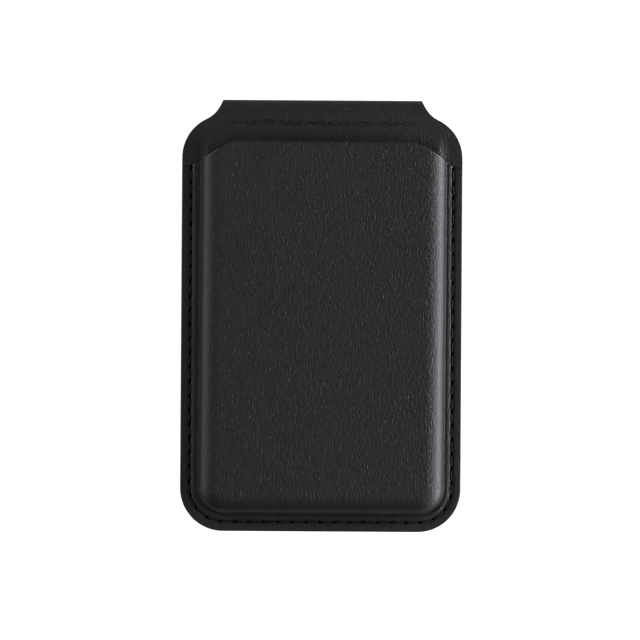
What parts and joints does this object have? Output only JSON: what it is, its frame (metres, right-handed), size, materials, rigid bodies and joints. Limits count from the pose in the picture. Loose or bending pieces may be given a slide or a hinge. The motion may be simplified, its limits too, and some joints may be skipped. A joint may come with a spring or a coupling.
{
  "type": "magnetic phone wallet",
  "caption": "Slim leather card pocket on a hinged magnetic leaf that snaps to a phone and folds open as a stand.",
  "frame": {"origin": "centre of the folded wallet's footprint, on the magnet face that lies against the phone", "axes": "+X across the wallet, +Y along it towards the fold, +Z away from the phone"},
  "size_m": [0.065, 0.1, 0.0106],
  "materials": {
    "black_leather": "smooth black leather with fine streaked grain, satin",
    "lining_cloth": "dark brushed microfibre",
    "board": "black fibre board with painted edge",
    "magnet": "nickel-plated magnet",
    "steel": "thin plain steel sheet",
    "thread": "waxed black thread"
  },
  "bodies": {
    "back_leaf": {"back_leather": "black_leather", "magnet_carrier": "board", "ring_magnet_01": "magnet", "ring_magnet_02": "magnet", "ring_magnet_03": "magnet", "ring_magnet_04": "magnet", "ring_magnet_05": "magnet", "ring_magnet_06": "magnet", "ring_magnet_07": "magnet", "ring_magnet_08": "magnet", "ring_magnet_09": "magnet", "ring_magnet_10": "magnet", "ring_magnet_11": "magnet", "ring_magnet_12": "magnet", "ring_magnet_13": "magnet", "ring_magnet_14": "magnet", "ring_magnet_15": "magnet", "ring_magnet_16": "magnet", "ring_yoke": "steel", "bar_magnet": "magnet", "bar_yoke": "steel", "back_lining": "lining_cloth", "hinge_leather": "black_leather"},
    "wallet_leaf": {"wallet_lining": "lining_cloth", "wallet_board": "board", "shield_plate": "steel", "panel_leather": "black_leather", "card_pocket": "black_leather", "stitching": "thread"}
  },
  "joints": [
    {"name": "stand_hinge", "type": "hinge", "parent": "back_leaf", "child": "wallet_leaf", "pos_m": [0, 0.05, 0.0024], "axis": [-1, 0, 0], "range_deg": [0, 180], "deforming": ["hinge_leather"]}
  ]
}
